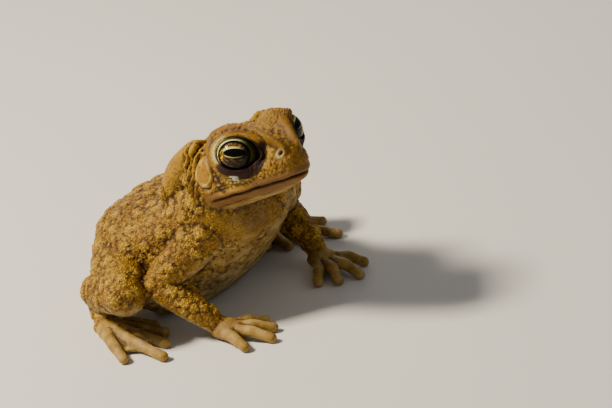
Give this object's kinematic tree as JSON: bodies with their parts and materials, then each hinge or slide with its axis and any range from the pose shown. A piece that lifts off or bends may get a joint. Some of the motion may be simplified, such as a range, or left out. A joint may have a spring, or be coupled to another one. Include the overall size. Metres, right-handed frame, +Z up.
{
  "type": "toad",
  "caption": "Life-size American toad sitting upright on its hands and feet, head raised and turned a little, with crests, glands and large eyes.",
  "frame": {"origin": "floor under the middle of the animal's bounding box", "axes": "+Z up, -Y forwards along the body towards the snout, +X to the animal's left"},
  "size_m": [0.0712, 0.0642, 0.0458],
  "materials": {
    "back_skin": "dry warty golden-brown skin",
    "belly_skin": "dry pale pebbled skin of the throat and lower jaw",
    "eye": "wet dark eye with a gold-flecked iris"
  },
  "bodies": {
    "root": {"eye_left": "eye", "eye_right": "eye", "foot_left": "back_skin", "foot_right": "back_skin", "forearm_left": "back_skin", "forearm_right": "back_skin", "hand_left": "back_skin", "hand_right": "back_skin", "head": "back_skin", "lower_jaw": "belly_skin", "parotoid_left": "back_skin", "parotoid_right": "back_skin", "shank_left": "back_skin", "shank_right": "back_skin", "tarsus_left": "back_skin", "tarsus_right": "back_skin", "thigh_left": "back_skin", "thigh_right": "back_skin", "torso": "back_skin", "upper_arm_left": "back_skin", "upper_arm_right": "back_skin"}
  },
  "joints": []
}
